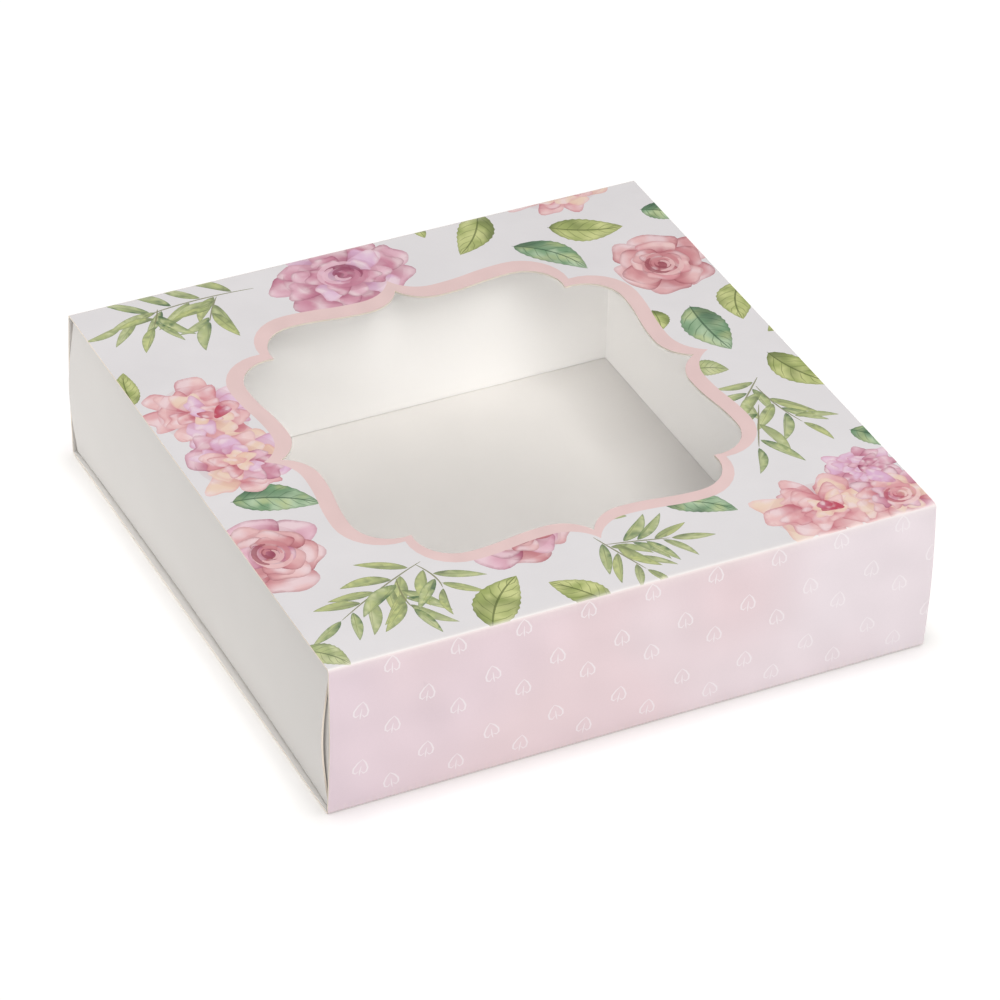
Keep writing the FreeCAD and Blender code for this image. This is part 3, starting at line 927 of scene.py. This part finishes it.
def wall_plan(flat, widths):
    """Plan of an upright tray panel with a full fold at its foot and its head.

    widths are its half lengths at the foot's end, the two tangent lines and the head's end."""
    levels = (-flat - ARC_FULL, -flat, flat, flat + ARC_FULL)
    right = list(zip(widths, levels))
    left = [(-a, b) for a, b in reversed(right)]
    outline = polygon(right + left, 2.0)
    half = max(widths)
    bends = crease_loops(half, flat, flat + ARC_FULL, FULL_FOLD_STEPS)
    return triangulate(outline, (), bends, lattice(half, flat, 2.5))


def make_tray_walls():
    """Outer walls, ledges, inner walls and feet, one set for each side."""
    for side, normal, outer, inner in SIDES:
        is_end = side in ("left", "right")
        crosswise, inner_cross = (TRAY_Y, INNER_Y) if is_end else (TRAY_X, INNER_X)
        flat = (TRAY_TOP - TRAY_UNDERSIDE) / 2 - CREASE
        reach = crosswise if is_end else crosswise - BOARD - GLUE_GAP - CREASE
        tucked = crosswise - CREASE
        plan = wall_plan(flat, (min(tucked, reach), reach, reach, min(tucked, reach)))
        put = wall_strip(normal, outer, TRAY_UNDERSIDE, TRAY_TOP)
        warp = end_warp if is_end else side_warp
        node = f"tray_{side}_outer_wall"
        board_piece(side + "_outer_wall", plan, put, "tray", [node], warp=warp)

        flat = (TRAY_TOP - FOOT_Z) / 2 - CREASE
        reach = inner_cross if is_end else inner_cross + BOARD
        plan = wall_plan(flat, (inner_cross, reach, reach, inner_cross + CREASE))
        put = wall_strip(-normal, -inner, FOOT_Z, TRAY_TOP)
        # The faces inside the tray get the lighter copy of the board, painted light.
        node, finishes = f"tray_{side}_inner_wall", ("inner", "board", "edge")
        board_piece(side + "_inner_wall", plan, put, "tray", [node], BOARD, None, finishes)

        far, near = outer - CREASE, inner + CREASE
        far_half, near_half = crosswise - CREASE, inner_cross + CREASE
        corners = [(far_half, far), (-far_half, far), (-near_half, near), (near_half, near)]
        plate_piece(side + "_ledge", corners, normal, TRAY_TOP, True)

        low, high = cad(f"tray_{side}_foot")
        far = max(abs(low @ normal), abs(high @ normal))
        half = (high - low)[1 if is_end else 0] / 2
        corners = [(half, far), (-half, far), (-half, near), (half, near)]
        plate_piece(side + "_foot", corners, normal, FOOT_Z, False)


def plate_piece(name, corners, normal, level, up):
    """Level sheet. corners are (along the side, outwards) in the side's own directions."""
    along = np.cross(Z, normal)
    placed = [tuple((along * a + normal * b)[:2]) for a, b in corners]
    if not up:
        placed = [(x, -y) for x, y in placed]
    plan = triangulate(polygon(placed, 4.0))
    board_piece(name, plan, flat_plate(level, up), "tray", ["tray_" + name])


def make_tray_base():
    """Floor of the tray."""
    half_x, half_y = TRAY_X - CREASE, TRAY_Y - CREASE
    plan = triangulate(rectangle(half_x, half_y, 3.0), points=lattice(half_x, half_y, 3.0))
    put = flat_plate(TRAY_UNDERSIDE, up=False)
    # The floor's top face takes the darker copy of the board, painted shade.
    finishes = ("board", "shaded_floor", "edge")
    board_piece("tray_floor", plan, put, "tray", ["tray_base"], BOARD, floor_warp, finishes)


def make_tray_tabs():
    """Corner tabs, folded in from the side walls behind the end walls."""
    for side, way in (("front", -Y), ("back", Y)):
        for end, normal in (("left", -X), ("right", X)):
            node = f"tray_{side}_{end}_tab"
            low, high = cad(node)
            near = min(abs(low[1]), abs(high[1]))
            fold = TRAY_Y - CREASE
            flat, middle = (fold - near) / 2, (fold + near) / 2
            distance = TRAY_X - BOARD - GLUE_GAP
            centre = normal * distance + way * middle + Z * (low[2] + high[2]) / 2
            put = fold_strip(centre, np.cross(way, normal), way, normal, flat)
            tall = (high[2] - low[2]) / 2
            narrow, root, far = tall - TAB_TAPER, flat - 1, flat + ARC_FULL
            right = [(narrow, -flat), (tall, root), (tall, far)]
            outline = [(-narrow, -flat), *right, (-tall, far), (-tall, root)]
            bends = crease_loops(tall, flat, far, FULL_FOLD_STEPS, 3.0)
            plan = triangulate(polygon(outline, 3.0), (), bends)
            board_piece(f"{side}_{end}_tab", plan, put, "tray", [node], warp=tab_warp)


# ---------------------------------------------------------------- floor, light and camera

CAMERA_PLACE = (-0.4092, -0.8132, 0.6702)
CAMERA_AZIMUTH, CAMERA_ELEVATION = math.radians(-26.87), math.radians(35.80)
CAMERA_ROLL = math.radians(1.77)
CAMERA_LENS = 172.7


def make_camera():
    """Long lens from the front left, above."""
    level = math.cos(CAMERA_ELEVATION)
    across, ahead = -math.sin(CAMERA_AZIMUTH) * level, math.cos(CAMERA_AZIMUTH) * level
    forward = Vector((across, ahead, -math.sin(CAMERA_ELEVATION)))
    right = forward.cross(Vector(Z)).normalized()
    up = right.cross(forward)
    rolled_right = math.cos(CAMERA_ROLL) * right + math.sin(CAMERA_ROLL) * up
    rolled_up = math.cos(CAMERA_ROLL) * up - math.sin(CAMERA_ROLL) * right
    data = bpy.data.cameras.new("camera")
    data.lens = CAMERA_LENS
    data.clip_start, data.clip_end = 0.05, 20
    camera = bpy.data.objects.new("camera", data)
    bpy.context.scene.collection.objects.link(camera)
    camera.matrix_world = Matrix((rolled_right, rolled_up, -forward)).transposed().to_4x4()
    camera.location = CAMERA_PLACE
    bpy.context.scene.camera = camera


TABLE_GLOW = (0.77, 0.765, 0.76)  # the table shines a little warm, and just burns out to white
SURROUNDINGS = (0.29, 0.275, 0.265)
CONTACT_REACH = 0.010  # how far the soft shade at the foot of the box spreads
TABLE_HALF = 6.0
TABLE_DROP = 0.0001  # the table lies this much lower, clear of the base
KEY_PLACE, KEY_SIDES, KEY_POWER = (0.02, -1.0, 1.73), (0.9, 1.2), 32.5
FILL_PLACE, FILL_AIM, FILL_SIDE, FILL_POWER = (-0.25, 0.3, 0.1), (-0.075, 0.06, 0.02), 0.1, 0.3
# Narrow beams through the window: where they aim, their turns from the front in degrees, watts each,
# and the width of each cone in degrees.
BEAMS = (
    ((0.015, 0.045, 0.022), (-75, -58, -41, -24, -7, 10, 27), 6.2, 10),
    ((0.058, 0.045, 0.022), (-64, -50, -36), 16.0, 8),
)
BEAM_HEIGHT = math.radians(25)
BEAM_REACH = 1.2
BEAM_SOFTNESS = 0.12


def add_light(name, kind, place, target, power, spared=(), only=()):
    """Light aimed at a point. It doesn't light the spared objects, or it lights only the given ones."""
    data = bpy.data.lights.new(name, kind)
    data.energy = power
    light = bpy.data.objects.new(name, data)
    bpy.context.scene.collection.objects.link(light)
    light.location = place
    light.rotation_euler = (Vector(target) - Vector(place)).to_track_quat("-Z", "Y").to_euler()
    linked = bpy.data.collections.new(name + "_receivers")
    for obj in (*spared, *only):
        linked.objects.link(obj)
    light.light_linking.receiver_collection = linked
    for entry in linked.collection_objects:
        entry.light_linking.link_state = "EXCLUDE" if spared else "INCLUDE"
    return data


def table_material():
    """White light table, shaded a little where something stands close to it."""
    material, tree, shader = new_material("light_table")
    shader.inputs["Base Color"].default_value = (0.98, 0.98, 0.98, 1)
    shader.inputs["Roughness"].default_value = 0.9
    shader.inputs["Specular IOR Level"].default_value = 0.0
    closeness = tree.nodes.new("ShaderNodeAmbientOcclusion")
    closeness.inputs["Color"].default_value = (*TABLE_GLOW, 1)
    closeness.inputs["Distance"].default_value = CONTACT_REACH
    tree.links.new(closeness.outputs["Color"], shader.inputs["Emission Color"])
    shader.inputs["Emission Strength"].default_value = 1.0
    return material


def make_table():
    """The light table that the box stands on."""
    mesh = bpy.data.meshes.new("floor")
    corners = [(x * TABLE_HALF, y * TABLE_HALF, 0) for x, y in ((-1, -1), (1, -1), (1, 1), (-1, 1))]
    mesh.from_pydata(corners, [], [(0, 1, 2, 3)])
    mesh.materials.append(table_material())
    floor = bpy.data.objects.new("floor", mesh)
    floor.location.z = -TABLE_DROP
    bpy.context.scene.collection.objects.link(floor)
    return floor


def make_beams():
    """Narrow beams that reach the tray's inside, or the sleeve's base, through the window."""
    names = ("sleeve_base", "tray_floor", *(side[0] + "_inner_wall" for side in SIDES))
    lit = [bpy.data.objects[name] for name in names]
    for group, (aim, turns, power, cone) in enumerate(BEAMS):
        for number, turn in enumerate(np.radians(turns)):
            away = Vector((math.sin(turn), -math.cos(turn), math.tan(BEAM_HEIGHT))).normalized()
            name = f"window_beam_{group}_{number}"
            beam = add_light(name, "SPOT", Vector(aim) + BEAM_REACH * away, aim, power, only=lit)
            beam.spot_size, beam.spot_blend = math.radians(cone), 0.8
            beam.shadow_soft_size = BEAM_SOFTNESS


def make_studio():
    """Pale surroundings, a large soft box over the front, and a small fill at the back left."""
    floor = make_table()
    world = bpy.data.worlds.new("studio")
    world.use_nodes = True
    background = world.node_tree.nodes["Background"]
    background.inputs["Color"].default_value = (*SURROUNDINGS, 1)
    background.inputs["Strength"].default_value = 1.0
    bpy.context.scene.world = world
    key = add_light("key", "AREA", KEY_PLACE, (0, 0, 0), KEY_POWER, spared=[floor])
    key.shape = "RECTANGLE"
    key.size, key.size_y = KEY_SIDES
    fill = add_light("fill", "AREA", FILL_PLACE, FILL_AIM, FILL_POWER, spared=[floor])
    fill.size = FILL_SIDE
    make_beams()
    bpy.context.scene.view_settings.view_transform = "Standard"


def finish_glue():
    """The thin glue nodes keep their shape and get their own finish."""
    for name in ("seam_glue", "film_glue", "corner_glue", "foot_glue"):
        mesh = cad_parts[name].data
        mesh.materials.clear()
        mesh.materials.append(MATERIALS["glue"])


make_sleeve()
make_film()
make_tray_walls()
make_tray_base()
make_tray_tabs()
finish_glue()
make_studio()
make_camera()
